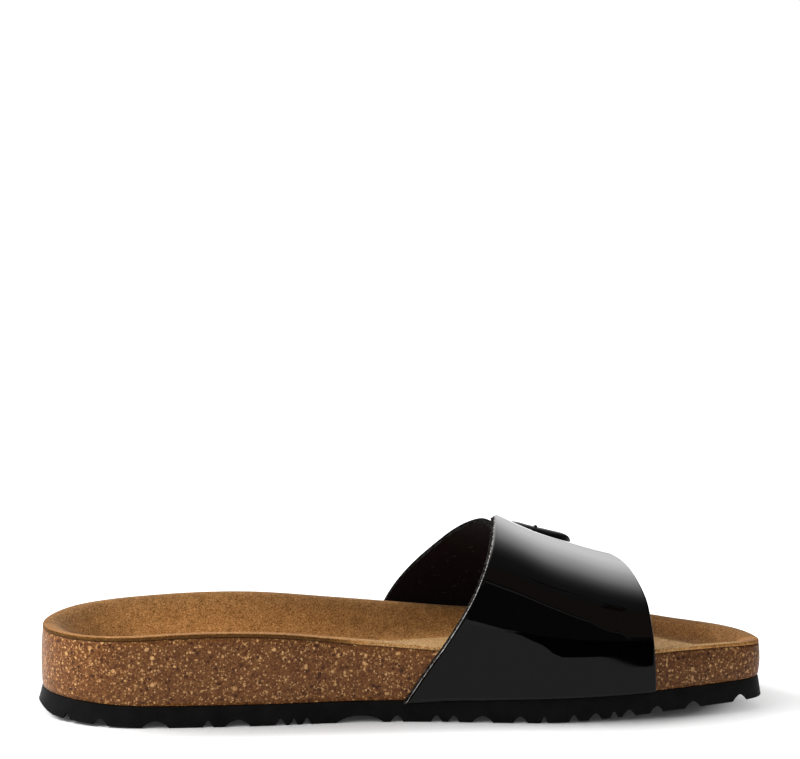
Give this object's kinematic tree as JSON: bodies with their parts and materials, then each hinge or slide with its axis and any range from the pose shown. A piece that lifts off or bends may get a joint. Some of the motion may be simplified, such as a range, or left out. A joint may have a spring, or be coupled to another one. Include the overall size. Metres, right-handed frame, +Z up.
{
  "type": "slide sandal",
  "caption": "Left mule-style slide sandal: contoured cork footbed with a tan suede liner, lugged black foam outsole and a wide black patent strap closed by a buckle.",
  "frame": {"origin": "on the ground under the middle of the shoe's box", "axes": "+X from heel to toe, +Y towards the outer (lateral) side, +Z up from the ground"},
  "size_m": [0.2566, 0.0916, 0.0676],
  "materials": {
    "foam_black": "matte black foam",
    "cork": "bare granulated cork with pale flecks",
    "suede_tan": "napped tan suede",
    "patent_black": "high gloss patent, dark napped lining",
    "buckle_black": "black lacquer"
  },
  "bodies": {
    "root": {"outsole": "foam_black", "cork_footbed": "cork", "insole": "suede_tan", "upper": "patent_black", "buckle_loop": "patent_black", "buckle_frame": "buckle_black", "buckle_prong": "buckle_black"}
  },
  "joints": []
}
